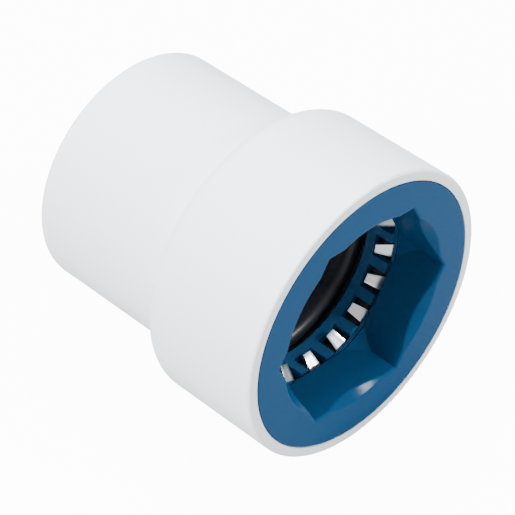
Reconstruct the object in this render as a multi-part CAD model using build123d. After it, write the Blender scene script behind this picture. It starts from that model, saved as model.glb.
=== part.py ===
# Push-fit reducing coupling for rigid PVC pipe: a stepped white body with a push-fit
# cartridge in each mouth.  The large mouth faces +X and the small mouth faces -X.
# +Z is up and the origin is the middle of the body's length, on its axis.
# All sizes are in millimetres.
#
# Each cartridge is drawn with its mouth in the plane z = 0 and its depth running towards -z,
# and is then turned into its end of the body.  "Depth" always means distance in from the mouth.

import os
from dataclasses import dataclass
from math import cos, hypot, radians, tan

from build123d import *

# ---------------------------------------------------------------- body
shoulder_wall = 2.0      # plastic between the large gland and the shoulder
shoulder_round = 3.0
shoulder_crease_round = 0.6
stop_thickness = 2.0
waterway_radius = 10.45
stop_edge_chamfer = 0.3

# ---------------------------------------------------------------- fits shared by both ends
weld_gap = 0.04          # retainer in the body, all round
slip_gap = 0.05          # rings stacked in the cartridge bore, all round
turning_gap = 0.08       # release ring and grab ring where they turn, on the radius
end_float = 0.05         # each side of the grab ring's flange
pipe_clearance = 0.25    # pipe in its support bore, on the radius
tooth_tip_gap = 0.10     # tooth tips drawn lifted by a pipe, just off its surface
tooth_root_gap = 0.30    # release ring to the bend at the teeth's roots, on the radius
tooth_rest_gap = 0.12    # a tooth to the window's edge that will push it
tooth_side_gap = 0.80    # each side of a tooth in its window
slot_root_gap = 0.40     # bend of the teeth to the bottom of the slots between them
release_end_gap = 0.25   # release ring to the retainer above it
release_stop_gap = 0.12  # release ring to the seal when it is pushed right in
seal_face_gap = 0.06     # seal drawn squeezed by a pipe, just off its surface
edge_break = 0.25        # small chamfers on moulded rings
release_lead = 0.35      # chamfer inside the release ring's inner end
hoop_wall = 0.55         # hoop that joins the release ring's bars above the teeth
recess_edge_round = 0.5  # edges round the mouth of the retainer's recess
seal_nose_round = 2.0    # seal's edge towards the mouth
seal_heel_round = 1.0    # seal's edge towards the stop


@dataclass
class End:
    """The sizes of one push-fit end. Rooms are radial, outwards from the pipe's surface."""
    name: str
    pipe_diameter: float
    hex_room: float            # to the flats of the hexagonal recess
    release_room: float        # to the inside of the release ring
    seal_room: float           # to the wall of the seal's gland
    cartridge_room: float      # to the bore that holds the stack of rings
    flange_step: float         # retainer's face ring beyond that bore
    rim_wall: float            # body's rim round the face ring
    rim_round: float           # outer edge of that rim
    flange_depth: float
    countersink_depth: float   # 45 degree countersink, starting at the hexagon's flats
    corner_taper_depth: float  # last stretch of the recess, where its corners close in
    corner_taper_room: float   # how far the corners still stand outside the flats at the end
    retainer_depth: float
    trap_rim_width: float      # outer rim of the retainer that holds the grab ring
    trap_rim_step: float
    release_wall: float
    release_travel: float
    window_height: float
    sheet: float               # thickness of the grab ring's steel
    tooth_count: int
    tooth_phase: float         # degrees
    tooth_root_width: float
    tooth_tip_width: float
    backing_height: float
    washer_thickness: float
    seal_width: float
    support_length: float      # bore between the seal and the pipe stop
    hex_phase: float           # degrees

    def __post_init__(self):
        # Radii, from the pipe outwards.
        self.pipe_radius = self.pipe_diameter / 2
        self.tooth_tip_radius = self.pipe_radius + tooth_tip_gap
        self.support_radius = self.pipe_radius + pipe_clearance
        self.hex_flat_radius = self.pipe_radius + self.hex_room
        self.hex_corner_radius = self.hex_flat_radius / cos(radians(30))
        self.countersink_radius = self.hex_flat_radius + self.countersink_depth
        self.release_inner = self.pipe_radius + self.release_room
        self.release_outer = self.release_inner + self.release_wall
        self.guide_radius = self.release_outer + turning_gap
        self.tooth_root_radius = self.release_outer + tooth_root_gap
        self.slot_root_radius = self.tooth_root_radius + slot_root_gap
        self.gland_radius = self.pipe_radius + self.seal_room
        self.cartridge_radius = self.pipe_radius + self.cartridge_room
        self.flange_radius = self.cartridge_radius + self.flange_step
        self.barrel_radius = self.flange_radius + self.rim_wall
        # Depths, from the mouth inwards.
        self.release_top = self.retainer_depth + release_end_gap
        self.grab_top = self.retainer_depth + self.trap_rim_step + end_float
        self.window_top = self.grab_top + tooth_root_gap - tooth_rest_gap
        self.window_bottom = self.window_top + self.window_height
        self.backing_top = self.grab_top + self.sheet + end_float
        self.washer_top = self.backing_top + self.backing_height
        self.gland_start = self.washer_top + self.washer_thickness
        self.release_bottom = self.gland_start - release_stop_gap - self.release_travel
        self.gland_end = self.gland_start + self.seal_width
        self.socket_depth = self.gland_end + self.support_length


large = End(
    name="large",
    pipe_diameter=33.4,
    hex_room=0.7,
    release_room=1.2,
    seal_room=4.7,
    cartridge_room=6.3,
    flange_step=2.4,
    rim_wall=1.9,
    rim_round=0.5,
    flange_depth=4.0,
    countersink_depth=1.5,
    corner_taper_depth=3.4,
    corner_taper_room=1.25,
    retainer_depth=9.3,
    trap_rim_width=2.0,
    trap_rim_step=0.65,
    release_wall=1.3,
    release_travel=1.2,
    window_height=3.7,
    sheet=0.5,
    tooth_count=18,
    tooth_phase=8.9,
    tooth_root_width=2.7,
    tooth_tip_width=1.7,
    backing_height=5.85,
    washer_thickness=1.0,
    seal_width=5.6,
    support_length=6.0,
    hex_phase=-4.0,
)

small = End(
    name="small",
    pipe_diameter=26.67,
    hex_room=0.6,
    release_room=1.0,
    seal_room=4.1,
    cartridge_room=5.55,
    flange_step=1.8,
    rim_wall=1.8,
    rim_round=1.2,
    flange_depth=3.5,
    countersink_depth=1.2,
    corner_taper_depth=2.9,
    corner_taper_room=1.0,
    retainer_depth=7.8,
    trap_rim_width=1.6,
    trap_rim_step=0.6,
    release_wall=1.1,
    release_travel=1.1,
    window_height=3.3,
    sheet=0.45,
    tooth_count=14,
    tooth_phase=0.0,
    tooth_root_width=2.6,
    tooth_tip_width=1.6,
    backing_height=5.15,
    washer_thickness=0.9,
    seal_width=4.8,
    support_length=5.5,
    hex_phase=0.0,
)

body_length = large.socket_depth + stop_thickness + small.socket_depth
shoulder_depth = large.gland_end + shoulder_wall

# ---------------------------------------------------------------- places
large_mouth = Plane(origin=(body_length / 2, 0, 0), x_dir=(0, 1, 0), z_dir=(1, 0, 0))
small_mouth = Plane(origin=(-body_length / 2, 0, 0), x_dir=(0, 1, 0), z_dir=(-1, 0, 0))


def turned(outline):
    """A solid of revolution about z from (radius, depth) points."""
    face = make_face(Polyline(*[(r, 0, -depth) for r, depth in outline], close=True))
    return revolve(face, Axis.Z)


def rounded_at(solid, radius, depth, size):
    """Round the circular edge at this radius and depth."""
    edges = [
        edge for edge in solid.edges().filter_by(GeomType.CIRCLE)
        if abs(edge.radius - radius) < 1e-4 and abs(edge.center().Z + depth) < 1e-4
    ]
    return fillet(edges, size)


def recess_edges(ring, end):
    """Edges round the mouth of the retainer's recess, down to the end of its countersink."""
    deepest = end.countersink_depth + 0.01
    return [
        edge for edge in ring.edges()
        if -edge.bounding_box().min.Z < deepest
        and hypot((edge @ 0).X, (edge @ 0).Y) < end.hex_corner_radius + 0.01
    ]


def spokes(tool, count, phase):
    """Copies of a tool spaced evenly about z, the first one turned by phase degrees."""
    return [Rot(0, 0, phase + 360 / count * i) * tool for i in range(count)]


# ---------------------------------------------------------------- pieces
def socket_space(end):
    """The room that one end's cartridge and pipe take out of the body."""
    above = 1.0
    return turned([
        (0, -above),
        (end.flange_radius, -above),
        (end.flange_radius, end.flange_depth),
        (end.cartridge_radius, end.flange_depth),
        (end.cartridge_radius, end.gland_start),
        (end.gland_radius, end.gland_start),
        (end.gland_radius, end.gland_end),
        (end.support_radius + edge_break, end.gland_end),
        (end.support_radius, end.gland_end + edge_break),
        (end.support_radius, end.socket_depth),
        (0, end.socket_depth),
    ])


def coupling_body():
    """Stepped barrel with both sockets and the pipe stop between them."""
    outside = turned([
        (0, 0),
        (large.barrel_radius, 0),
        (large.barrel_radius, shoulder_depth),
        (small.barrel_radius, shoulder_depth),
        (small.barrel_radius, body_length),
        (0, body_length),
    ])
    outside = rounded_at(outside, large.barrel_radius, 0, large.rim_round)
    outside = rounded_at(outside, small.barrel_radius, body_length, small.rim_round)
    outside = rounded_at(outside, large.barrel_radius, shoulder_depth, shoulder_round)
    outside = rounded_at(outside, small.barrel_radius, shoulder_depth, shoulder_crease_round)
    body = large_mouth.location * outside
    body -= large_mouth.location * socket_space(large)
    body -= small_mouth.location * socket_space(small)

    stop_start = large.socket_depth
    stop_end = large.socket_depth + stop_thickness
    flare = waterway_radius + stop_edge_chamfer
    waterway = turned([
        (0, stop_start),
        (flare, stop_start),
        (waterway_radius, stop_start + stop_edge_chamfer),
        (waterway_radius, stop_end - stop_edge_chamfer),
        (flare, stop_end),
        (0, stop_end),
    ])
    return body - large_mouth.location * waterway


def retainer(end):
    """Face ring welded in the mouth, with a hexagonal recess for the release tool."""
    flange = end.flange_radius - weld_gap
    skirt = end.cartridge_radius - weld_gap
    rim_depth = end.retainer_depth + end.trap_rim_step
    rim_inner = skirt - end.trap_rim_width
    ring = turned([
        (0, 0),
        (flange - edge_break, 0),
        (flange, edge_break),
        (flange, end.flange_depth),
        (skirt, end.flange_depth),
        (skirt, rim_depth),
        (rim_inner, rim_depth),
        (rim_inner, end.retainer_depth),
        (0, end.retainer_depth),
    ])

    above = 1.0
    corner = end.hex_corner_radius
    last_radius = end.hex_flat_radius + end.corner_taper_room
    slope = (corner - last_radius) / end.corner_taper_depth
    corner_limit = turned([
        (0, -above),
        (corner + slope, -above),
        (corner + slope, end.retainer_depth - end.corner_taper_depth - 1),
        (last_radius - slope, end.retainer_depth + 1),
        (0, end.retainer_depth + 1),
    ])
    prism = extrude(
        RegularPolygon(corner, 6, rotation=end.hex_phase),
        amount=end.retainer_depth + 2 * above,
        both=True,
    )
    countersink = turned([
        (0, -above),
        (end.countersink_radius + above, -above),
        (end.hex_flat_radius, end.countersink_depth),
        (0, end.countersink_depth),
    ])
    ring = ring - (prism & corner_limit) - countersink
    return fillet(recess_edges(ring, end), recess_edge_round)


def release_ring(end):
    """Sliding sleeve whose windows let the teeth through and push them off the pipe."""
    inner = end.release_inner
    outer = end.release_outer
    lead = release_lead
    ring = turned([
        (inner, end.window_top),
        (outer - hoop_wall, end.window_top),
        (outer - hoop_wall, end.release_top),
        (outer - edge_break, end.release_top),
        (outer, end.release_top + edge_break),
        (outer, end.release_bottom - edge_break),
        (outer - edge_break, end.release_bottom),
        (inner + lead, end.release_bottom),
        (inner, end.release_bottom - lead),
    ])
    height = end.window_bottom - end.window_top
    middle = (end.window_bottom + end.window_top) / 2
    width = end.tooth_root_width + 2 * tooth_side_gap
    window = Pos(end.release_inner, 0, -middle) * Box(4 * end.release_wall, width, height)
    return ring - spokes(window, end.tooth_count, end.tooth_phase)


def grab_ring(end):
    """Spring-steel ring: a flat flange with teeth bent 45 degrees inwards, away from the mouth."""
    top = end.grab_top
    bottom = top + end.sheet
    rim = end.cartridge_radius - turning_gap
    root = end.tooth_root_radius
    tip = end.tooth_tip_radius
    bend = end.sheet * tan(radians(22.5))
    square_cut = end.sheet * cos(radians(45))
    tip_depth = top + root - tip
    formed = turned([
        (rim, top),
        (rim, bottom),
        (root + bend, bottom),
        (tip + square_cut, tip_depth + square_cut),
        (tip, tip_depth),
        (root, top),
    ])
    flange = turned([
        (rim, top),
        (rim, bottom),
        (end.slot_root_radius, bottom),
        (end.slot_root_radius, top),
    ])
    taper = (end.tooth_root_width - end.tooth_tip_width) / (root - tip)
    inside = tip - 1
    inside_half = (end.tooth_tip_width - taper) / 2
    outside = (end.slot_root_radius + rim) / 2
    outside_half = (end.tooth_root_width + taper * (outside - root)) / 2
    blank = make_face(Polyline(
        (inside, -inside_half),
        (outside, -outside_half),
        (outside, outside_half),
        (inside, inside_half),
        close=True,
    ))
    blank = extrude(blank, amount=2 * tip_depth, both=True)
    return flange + [formed & one for one in spokes(blank, end.tooth_count, end.tooth_phase)]


def backing_ring(end):
    """Ring behind the grab ring; its bore guides the release ring and it holds the washer down."""
    top = end.backing_top
    outer = end.cartridge_radius - slip_gap
    relief = end.tooth_root_radius + end.sheet - end.guide_radius
    return turned([
        (end.guide_radius + relief, top),
        (outer - edge_break, top),
        (outer, top + edge_break),
        (outer, end.washer_top),
        (end.guide_radius, end.washer_top),
        (end.guide_radius, top + relief),
    ])


def seal_washer(end):
    """Flat washer on the shoulder above the seal, closing its gland."""
    outer = end.cartridge_radius - slip_gap
    return turned([
        (end.guide_radius, end.washer_top),
        (outer, end.washer_top),
        (outer, end.gland_start),
        (end.guide_radius, end.gland_start),
    ])


def seal(end):
    """Moulded rubber ring with a rounded nose towards the mouth, filling its gland."""
    inner = end.pipe_radius + seal_face_gap
    ring = turned([
        (inner, end.gland_start),
        (end.gland_radius, end.gland_start),
        (end.gland_radius, end.gland_end),
        (inner, end.gland_end),
    ])
    ring = rounded_at(ring, inner, end.gland_start, seal_nose_round)
    return rounded_at(ring, inner, end.gland_end, seal_heel_round)


# ---------------------------------------------------------------- write the pieces
pieces = {"coupling_body": coupling_body()}
for end, place in ((large, large_mouth), (small, small_mouth)):
    for make in (retainer, release_ring, grab_ring, backing_ring, seal_washer, seal):
        pieces[f"{end.name}_{make.__name__}"] = place.location * make(end)

os.makedirs("parts", exist_ok=True)
for node, piece in pieces.items():
    export_step(piece, f"parts/{node}.step")
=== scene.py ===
import bpy
import math
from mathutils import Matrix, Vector


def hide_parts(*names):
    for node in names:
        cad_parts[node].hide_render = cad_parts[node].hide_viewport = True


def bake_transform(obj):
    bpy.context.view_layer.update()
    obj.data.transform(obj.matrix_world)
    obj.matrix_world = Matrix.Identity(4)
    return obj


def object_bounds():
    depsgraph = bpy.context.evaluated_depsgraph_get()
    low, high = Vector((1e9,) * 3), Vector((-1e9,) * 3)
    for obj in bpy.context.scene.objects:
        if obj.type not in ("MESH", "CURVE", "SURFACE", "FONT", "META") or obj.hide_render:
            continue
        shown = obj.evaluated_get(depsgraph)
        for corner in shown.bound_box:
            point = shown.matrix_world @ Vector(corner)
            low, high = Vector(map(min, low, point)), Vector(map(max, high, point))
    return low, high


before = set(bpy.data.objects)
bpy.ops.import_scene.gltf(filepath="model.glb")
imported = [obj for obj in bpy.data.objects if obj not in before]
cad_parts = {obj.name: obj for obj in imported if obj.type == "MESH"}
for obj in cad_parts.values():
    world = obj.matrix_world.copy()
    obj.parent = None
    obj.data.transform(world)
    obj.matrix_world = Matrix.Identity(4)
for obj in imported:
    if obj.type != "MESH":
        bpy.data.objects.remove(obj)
cad_low, cad_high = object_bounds()

# ------------------------------------------------------------------ the moulded body
# One-piece stepped barrel of white rigid PVC, injection moulded with a fine satin skin.
# Both sockets are bored into it, and a thin rim is left standing round each face ring.


def new_material(name, rough=0.5, metallic=0.0, specular=0.5):
    """A Principled material, with its node tree, shader and object coordinates."""
    material = bpy.data.materials.new(name)
    material.use_nodes = True
    nodes = material.node_tree.nodes
    shader = nodes["Principled BSDF"]
    shader.inputs["Roughness"].default_value = rough
    shader.inputs["Metallic"].default_value = metallic
    shader.inputs["Specular IOR Level"].default_value = specular
    place = nodes.new("ShaderNodeTexCoord")
    return material, material.node_tree, shader, place.outputs["Object"]


def linear(red, green, blue):
    """An sRGB colour, 0 to 255, as linear RGBA."""
    def one(value):
        share = value / 255
        return share / 12.92 if share <= 0.04045 else ((share + 0.055) / 1.055) ** 2.4
    return (one(red), one(green), one(blue), 1.0)


def group_socket(group, name, kind, side, default=None):
    """Adds a named socket to a shader or geometry group."""
    socket = group.interface.new_socket(name=name, in_out=side, socket_type=kind)
    if default is not None:
        socket.default_value = default


def moulded_skin_group():
    """Moulded plastic: faint tone drift, a fine cast texture, and roughness that varies with it."""
    group = bpy.data.node_groups.new("moulded skin", "ShaderNodeTree")
    group_socket(group, "Place", "NodeSocketVector", "INPUT")
    group_socket(group, "Colour", "NodeSocketColor", "INPUT", (0.8, 0.8, 0.8, 1))
    group_socket(group, "Shade Colour", "NodeSocketColor", "INPUT", (0.7, 0.7, 0.7, 1))
    group_socket(group, "Drift Scale", "NodeSocketFloat", "INPUT", 60.0)
    group_socket(group, "Grain Scale", "NodeSocketFloat", "INPUT", 9000.0)
    group_socket(group, "Grain Height", "NodeSocketFloat", "INPUT", 0.1)
    group_socket(group, "Smooth", "NodeSocketFloat", "INPUT", 0.35)
    group_socket(group, "Dull", "NodeSocketFloat", "INPUT", 0.5)
    group_socket(group, "Colour", "NodeSocketColor", "OUTPUT")
    group_socket(group, "Roughness", "NodeSocketFloat", "OUTPUT")
    group_socket(group, "Normal", "NodeSocketVector", "OUTPUT")
    nodes, links = group.nodes, group.links
    given = nodes.new("NodeGroupInput").outputs
    result = nodes.new("NodeGroupOutput").inputs

    drift = nodes.new("ShaderNodeTexNoise")
    drift.inputs["Detail"].default_value = 3.0
    links.new(given["Place"], drift.inputs["Vector"])
    links.new(given["Drift Scale"], drift.inputs["Scale"])
    tone = nodes.new("ShaderNodeMix")
    tone.data_type = "RGBA"
    links.new(drift.outputs["Fac"], tone.inputs["Factor"])
    links.new(given["Colour"], tone.inputs["A"])
    links.new(given["Shade Colour"], tone.inputs["B"])
    links.new(tone.outputs["Result"], result["Colour"])

    grain = nodes.new("ShaderNodeTexNoise")
    grain.inputs["Detail"].default_value = 2.0
    links.new(given["Place"], grain.inputs["Vector"])
    links.new(given["Grain Scale"], grain.inputs["Scale"])
    gloss = nodes.new("ShaderNodeMapRange")
    links.new(grain.outputs["Fac"], gloss.inputs["Value"])
    gloss.inputs["From Min"].default_value = 0.3
    gloss.inputs["From Max"].default_value = 0.7
    links.new(given["Smooth"], gloss.inputs["To Min"])
    links.new(given["Dull"], gloss.inputs["To Max"])
    links.new(gloss.outputs["Result"], result["Roughness"])

    relief = nodes.new("ShaderNodeBump")
    relief.inputs["Distance"].default_value = 0.00001
    links.new(given["Grain Height"], relief.inputs["Strength"])
    links.new(grain.outputs["Fac"], relief.inputs["Height"])
    links.new(relief.outputs["Normal"], result["Normal"])
    return group


moulded_skin = moulded_skin_group()


def moulded_plastic(name, colour, shade, smooth, dull, grain_height, **shader_values):
    """A moulded plastic finish built on the shared skin group."""
    material, tree, shader, place = new_material(name, **shader_values)
    skin = tree.nodes.new("ShaderNodeGroup")
    skin.node_tree = moulded_skin
    skin.inputs["Colour"].default_value = colour
    skin.inputs["Shade Colour"].default_value = shade
    skin.inputs["Smooth"].default_value = smooth
    skin.inputs["Dull"].default_value = dull
    skin.inputs["Grain Height"].default_value = grain_height
    tree.links.new(place, skin.inputs["Place"])
    tree.links.new(skin.outputs["Colour"], shader.inputs["Base Color"])
    tree.links.new(skin.outputs["Roughness"], shader.inputs["Roughness"])
    tree.links.new(skin.outputs["Normal"], shader.inputs["Normal"])
    return material


def finish_node(node, material):
    """Gives a carried-over CAD node its finish."""
    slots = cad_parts[node].data.materials
    slots.clear()
    slots.append(material)


white_pvc = moulded_plastic(
    "white rigid pvc", linear(238, 241, 246), linear(232, 236, 242),
    smooth=0.34, dull=0.46, grain_height=0.12,
)
finish_node("coupling_body", white_pvc)

# ------------------------------------------------------------------ the two retainers
# Blue moulded face rings, spin-welded flush into the mouths. Each has a hexagonal recess that
# takes the six-sided nose of the release tool, and a rim that traps the grab ring.

retainer_blue = moulded_plastic(
    "retainer blue", linear(12, 66, 106), linear(9, 61, 100),
    smooth=0.15, dull=0.22, grain_height=0.12, specular=0.06,
)
for end in ("large", "small"):
    finish_node(f"{end}_retainer", retainer_blue)

# ------------------------------------------------------------------ the two release rings
# Blue slotted sleeves behind the retainers, moulded in the same resin. The teeth come through
# the windows, and the ring slides in to push them off the pipe.

release_blue = moulded_plastic(
    "release ring blue", linear(30, 80, 122), linear(26, 74, 114),
    smooth=0.3, dull=0.42, grain_height=0.12, specular=0.1,
)
for end in ("large", "small"):
    finish_node(f"{end}_release_ring", release_blue)

# ------------------------------------------------------------------ the two grab rings
# Stainless spring-steel rings, stamped from strip, with teeth bent 45 degrees towards the stop.
# Each turns freely between retainer and backing ring, and its teeth lie back when pushed.

MM = 0.001
BEND = math.radians(45)


def brushed_steel_group():
    """Rolled strip: fine lines along one direction, and faint stains, as colour and roughness."""
    group = bpy.data.node_groups.new("rolled steel", "ShaderNodeTree")
    group_socket(group, "Place", "NodeSocketVector", "INPUT")
    group_socket(group, "Bright", "NodeSocketColor", "INPUT", (0.8, 0.8, 0.8, 1))
    group_socket(group, "Dim", "NodeSocketColor", "INPUT", (0.5, 0.5, 0.5, 1))
    group_socket(group, "Line Scale", "NodeSocketFloat", "INPUT", 5000.0)
    group_socket(group, "Polish", "NodeSocketFloat", "INPUT", 0.27)
    group_socket(group, "Haze", "NodeSocketFloat", "INPUT", 0.32)
    group_socket(group, "Colour", "NodeSocketColor", "OUTPUT")
    group_socket(group, "Roughness", "NodeSocketFloat", "OUTPUT")
    group_socket(group, "Normal", "NodeSocketVector", "OUTPUT")
    nodes, links = group.nodes, group.links
    given = nodes.new("NodeGroupInput").outputs
    result = nodes.new("NodeGroupOutput").inputs

    stretch = nodes.new("ShaderNodeVectorMath")
    stretch.operation = "MULTIPLY"
    stretch.inputs[1].default_value = (0.12, 1.0, 1.0)
    links.new(given["Place"], stretch.inputs[0])
    lines = nodes.new("ShaderNodeTexNoise")
    lines.inputs["Detail"].default_value = 2.0
    links.new(stretch.outputs["Vector"], lines.inputs["Vector"])
    links.new(given["Line Scale"], lines.inputs["Scale"])
    stain = nodes.new("ShaderNodeTexNoise")
    stain.inputs["Scale"].default_value = 420.0
    links.new(given["Place"], stain.inputs["Vector"])

    tone = nodes.new("ShaderNodeMix")
    tone.data_type = "RGBA"
    links.new(stain.outputs["Fac"], tone.inputs["Factor"])
    links.new(given["Bright"], tone.inputs["A"])
    links.new(given["Dim"], tone.inputs["B"])
    links.new(tone.outputs["Result"], result["Colour"])
    gloss = nodes.new("ShaderNodeMapRange")
    gloss.inputs["From Min"].default_value = 0.3
    gloss.inputs["From Max"].default_value = 0.7
    links.new(lines.outputs["Fac"], gloss.inputs["Value"])
    links.new(given["Polish"], gloss.inputs["To Min"])
    links.new(given["Haze"], gloss.inputs["To Max"])
    links.new(gloss.outputs["Result"], result["Roughness"])
    relief = nodes.new("ShaderNodeBump")
    relief.inputs["Strength"].default_value = 0.015
    relief.inputs["Distance"].default_value = 0.00001
    links.new(lines.outputs["Fac"], relief.inputs["Height"])
    links.new(relief.outputs["Normal"], result["Normal"])
    return group


grab_steel, steel_tree, steel_shader, steel_place = new_material("grab ring steel", metallic=1.0)
strip = steel_tree.nodes.new("ShaderNodeGroup")
strip.node_tree = brushed_steel_group()
strip.inputs["Bright"].default_value = linear(222, 224, 227)
strip.inputs["Dim"].default_value = linear(205, 208, 212)
steel_tree.links.new(steel_place, strip.inputs["Place"])
steel_tree.links.new(strip.outputs["Colour"], steel_shader.inputs["Base Color"])
steel_tree.links.new(strip.outputs["Roughness"], steel_shader.inputs["Roughness"])
steel_tree.links.new(strip.outputs["Normal"], steel_shader.inputs["Normal"])


def tooth_sector(
    name, mouth, inward, tooth_half_pitch, rim, slot_root, root, tip, root_width, tip_width, top,
):
    """One tooth and its share of the flat flange, as a sheet in the tooth's own direction, +Y."""
    turn_radius = 0.9 * MM
    bend_steps = 6
    blade_shares = (0.33, 0.67, 1.0)
    slot_shares = (0.78, 1.0)        # of half the pitch, where the slot beside the tooth has points
    across = (-1, -0.5, 0, 0.5, 1)
    reach = turn_radius * math.tan(BEND / 2)
    spine = [(slot_root, 0.0), (root + reach, 0.0)]
    for step in range(1, bend_steps + 1):
        angle = BEND * step / bend_steps
        spine.append((root + reach - turn_radius * math.sin(angle), turn_radius * (1 - math.cos(angle))))
    bend_r, bend_d = spine[-1]
    for share in blade_shares:
        spine.append((bend_r + share * (tip - bend_r), bend_d + share * (bend_r - tip) * math.tan(BEND)))
    taper = (root_width - tip_width) / (root - tip)
    points, faces = [], []

    def add_point(radius, sideways, depth):
        upright = math.sqrt(max(radius ** 2 - sideways ** 2, 0))
        points.append((mouth + inward * (top + depth), upright, sideways))
        return len(points) - 1

    rows = []
    for radius, depth in spine:
        half = (root_width + taper * (radius - root)) / 2
        rows.append([add_point(radius, half * share, depth) for share in across])
    for upper, lower in zip(rows, rows[1:]):
        for i in range(len(across) - 1):
            faces.append((upper[i], upper[i + 1], lower[i + 1], lower[i]))

    gullet = [math.asin(points[i][2] / slot_root) for i in rows[0]]
    sides = [tooth_half_pitch * share for share in slot_shares]
    angles = [-sides[1], -sides[0]] + gullet + sides
    inner = [add_point(slot_root, slot_root * math.sin(a), 0) for a in angles[:2]]
    inner += rows[0]
    inner += [add_point(slot_root, slot_root * math.sin(a), 0) for a in angles[-2:]]
    outer = []
    for angle in angles:
        outer.append(len(points))
        points.append((mouth + inward * top, rim * math.cos(angle), rim * math.sin(angle)))
    for i in range(len(angles) - 1):
        faces.append((outer[i], outer[i + 1], inner[i + 1], inner[i]))
    mesh = bpy.data.meshes.new(name)
    mesh.from_pydata(points, [], faces)
    piece = bpy.data.objects.new(name, mesh)
    bpy.context.scene.collection.objects.link(piece)
    return piece


def toothed_ring_tree():
    """Turns one sector about the X axis, as often as the ring has teeth, and joins the copies."""
    tree = bpy.data.node_groups.new("toothed ring", "GeometryNodeTree")
    group_socket(tree, "Geometry", "NodeSocketGeometry", "INPUT")
    group_socket(tree, "Teeth", "NodeSocketInt", "INPUT", 18)
    group_socket(tree, "Phase", "NodeSocketFloat", "INPUT", 0.0)
    group_socket(tree, "Finish", "NodeSocketMaterial", "INPUT")
    group_socket(tree, "Geometry", "NodeSocketGeometry", "OUTPUT")
    nodes, links = tree.nodes, tree.links
    given = nodes.new("NodeGroupInput").outputs
    result = nodes.new("NodeGroupOutput").inputs

    spots = nodes.new("GeometryNodePoints")
    links.new(given["Teeth"], spots.inputs["Count"])
    index = nodes.new("GeometryNodeInputIndex")
    pitch = nodes.new("ShaderNodeMath")
    pitch.operation = "DIVIDE"
    pitch.inputs[0].default_value = 2 * math.pi
    links.new(given["Teeth"], pitch.inputs[1])
    turn = nodes.new("ShaderNodeMath")
    turn.operation = "MULTIPLY_ADD"
    links.new(index.outputs["Index"], turn.inputs[0])
    links.new(pitch.outputs["Value"], turn.inputs[1])
    links.new(given["Phase"], turn.inputs[2])
    about_x = nodes.new("ShaderNodeCombineXYZ")
    links.new(turn.outputs["Value"], about_x.inputs["X"])
    copies = nodes.new("GeometryNodeInstanceOnPoints")
    links.new(spots.outputs["Points"], copies.inputs["Points"])
    links.new(given["Geometry"], copies.inputs["Instance"])
    links.new(about_x.outputs["Vector"], copies.inputs["Rotation"])
    real = nodes.new("GeometryNodeRealizeInstances")
    links.new(copies.outputs["Instances"], real.inputs["Geometry"])
    joined = nodes.new("GeometryNodeMergeByDistance")
    joined.inputs["Distance"].default_value = 0.00002
    links.new(real.outputs["Geometry"], joined.inputs["Geometry"])
    finish = nodes.new("GeometryNodeSetMaterial")
    links.new(joined.outputs["Geometry"], finish.inputs["Geometry"])
    links.new(given["Finish"], finish.inputs["Material"])
    links.new(finish.outputs["Geometry"], result["Geometry"])
    return tree


def set_input(modifier, name, value):
    """Sets a geometry-nodes input by its socket's identifier."""
    for item in modifier.node_group.interface.items_tree:
        if item.item_type == "SOCKET" and item.in_out == "INPUT" and item.name == name:
            modifier[item.identifier] = value


def made_plain(piece, smooth_angle):
    """Replaces a piece's mesh by what its modifiers give, removes them, and shades it smooth."""
    ready = piece.evaluated_get(bpy.context.evaluated_depsgraph_get())
    mesh = bpy.data.meshes.new_from_object(ready)
    piece.modifiers.clear()
    piece.data = mesh
    mesh.shade_smooth()
    mesh.set_sharp_from_angle(angle=smooth_angle)
    return piece


def grab_ring(end, mouth, inward, teeth, phase, sheet, **sizes):
    """A whole grab ring: sector, copies, sheet thickness and tumbled edges."""
    piece = tooth_sector(f"{end}_toothed_ring", mouth, inward, math.pi / teeth, **sizes)
    ring = piece.modifiers.new("ring", "NODES")
    ring.node_group = toothed_ring
    set_input(ring, "Teeth", teeth)
    set_input(ring, "Phase", math.radians(phase))
    set_input(ring, "Finish", grab_steel)
    wall = piece.modifiers.new("sheet", "SOLIDIFY")
    wall.thickness = sheet
    # The large sector faces its mouth, so its sheet grows inwards. The small one is mirrored and
    # faces the stop, so its sheet grows towards its mouth instead.
    wall.offset = -1.0
    wall.use_even_offset = True
    tumbled = piece.modifiers.new("tumbled edges", "BEVEL")
    tumbled.width = 0.07 * MM
    tumbled.segments = 2
    tumbled.limit_method = "ANGLE"
    tumbled.angle_limit = math.radians(50)
    return made_plain(piece, math.radians(40))


toothed_ring = toothed_ring_tree()
mouth_x = {"large": cad_high.x, "small": cad_low.x}
large_toothed = grab_ring(
    "large", mouth_x["large"], -1, teeth=18, phase=8.9, sheet=0.5 * MM,
    rim=22.92 * MM, slot_root=19.9 * MM, root=19.5 * MM, tip=16.8 * MM,
    root_width=2.7 * MM, tip_width=1.7 * MM, top=10.0 * MM,
)
small_toothed = grab_ring(
    "small", mouth_x["small"], 1, teeth=14, phase=0.0, sheet=0.45 * MM,
    rim=18.805 * MM, slot_root=16.135 * MM, root=15.735 * MM, tip=13.435 * MM,
    root_width=2.6 * MM, tip_width=1.6 * MM, top=8.45 * MM,
)
for end, piece, inward in (("large", large_toothed, -1), ("small", small_toothed, 1)):
    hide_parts(f"{end}_grab_ring")
    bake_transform(piece)

# ------------------------------------------------------------------ backing rings and washers
# Black moulded rings stacked behind each grab ring. The backing ring guides the release ring,
# and the washer under it shuts the seal's gland.

black_plastic = moulded_plastic(
    "black acetal", linear(30, 31, 34), linear(24, 25, 28),
    smooth=0.4, dull=0.55, grain_height=0.15,
)
for end in ("large", "small"):
    finish_node(f"{end}_backing_ring", black_plastic)
    finish_node(f"{end}_seal_washer", black_plastic)

# ------------------------------------------------------------------ the two seals
# Moulded rubber rings, round-nosed towards the mouth and wiped with a film of silicone grease.
# Each is squeezed between its gland and the pipe.

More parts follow.
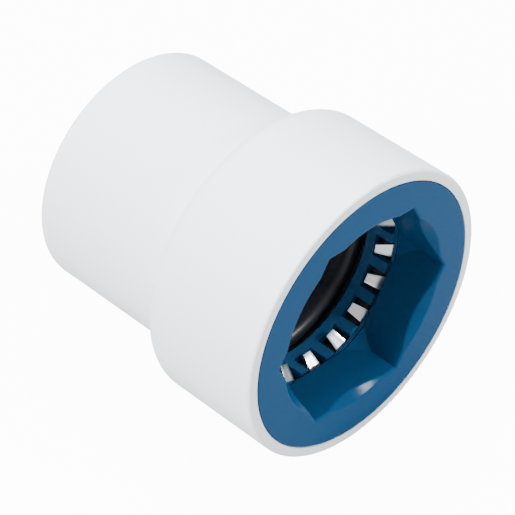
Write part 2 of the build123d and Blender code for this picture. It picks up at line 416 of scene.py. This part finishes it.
seal_rubber = moulded_plastic(
    "greased rubber", linear(34, 35, 42), linear(27, 29, 35),
    smooth=0.3, dull=0.46, grain_height=0.15, specular=0.3,
)
for end in ("large", "small"):
    finish_node(f"{end}_seal", seal_rubber)

# ------------------------------------------------------------------ studio
# A plain floor level with the large barrel's underside, with a glow that only the camera sees.
# Soft lamps and a pale surround. The camera looks down into the large mouth from its side.

floor_mesh = bpy.data.meshes.new("floor")
floor_size = 3.0
floor_mesh.from_pydata(
    [(x * floor_size, y * floor_size, cad_low.z) for x, y in ((-1, -1), (1, -1), (1, 1), (-1, 1))],
    [], [(0, 1, 2, 3)],
)
floor = bpy.data.objects.new("floor", floor_mesh)
bpy.context.scene.collection.objects.link(floor)
floor_paint, floor_tree, floor_shader = new_material("pale floor", rough=0.9)[:3]
floor_shader.inputs["Base Color"].default_value = (0.33, 0.33, 0.333, 1)
floor_shader.inputs["Emission Strength"].default_value = 12.0
seen = floor_tree.nodes.new("ShaderNodeLightPath")
floor_tree.links.new(seen.outputs["Is Camera Ray"], floor_shader.inputs["Emission Color"])
floor_mesh.materials.append(floor_paint)

world = bpy.data.worlds.new("studio")
bpy.context.scene.world = world
world.use_nodes = True
world.node_tree.nodes["Background"].inputs["Color"].default_value = (1.0, 1.0, 1.0, 1)
world.node_tree.nodes["Background"].inputs["Strength"].default_value = 0.8


def softbox(name, place, target, width, height, power):
    """A rectangular area lamp aimed at a point."""
    lamp = bpy.data.lights.new(name, "AREA")
    lamp.shape = "RECTANGLE"
    lamp.size = width
    lamp.size_y = height
    lamp.energy = power
    holder = bpy.data.objects.new(name, lamp)
    holder.location = place
    holder.rotation_euler = (Vector(target) - Vector(place)).to_track_quat("-Z", "Y").to_euler()
    bpy.context.scene.collection.objects.link(holder)


softbox(
    "mouth strip light", place=(0.63, 0.33, 0.41), target=(cad_high.x, 0, 0),
    width=0.15, height=0.035, power=5.5,
)
softbox(
    "overhead softbox", place=(-0.15, 0.2, 0.95), target=(0, 0, 0),
    width=0.6, height=0.6, power=24.0,
)
softbox(
    "front softbox", place=(-0.1, -0.78, 0.62), target=(0, 0, 0),
    width=0.35, height=0.35, power=28.0,
)

lens_length = 167.767            # mm, on a sensor 36 mm wide
sensor_width = 36.0
camera_distance = 0.3993         # from the middle of the large mouth
camera_left = 0.01783
camera_rise = 0.0098
azimuth = math.radians(44.77)
elevation = math.radians(41.66)
camera_right = Vector((math.cos(azimuth), math.sin(azimuth), 0))
camera_up = Vector((
    -math.sin(elevation) * math.sin(azimuth),
    math.sin(elevation) * math.cos(azimuth),
    math.cos(elevation),
))
camera_back = camera_right.cross(camera_up)
mouth_centre = Vector((cad_high.x, 0, 0))
camera_data = bpy.data.cameras.new("camera")
camera_data.sensor_width = sensor_width
camera_data.lens = lens_length
camera = bpy.data.objects.new("camera", camera_data)
camera.location = (
    mouth_centre - camera_right * camera_left + camera_up * camera_rise + camera_back * camera_distance
)
camera.rotation_euler = (math.pi / 2 - elevation, 0, azimuth)
bpy.context.scene.collection.objects.link(camera)
bpy.context.scene.camera = camera
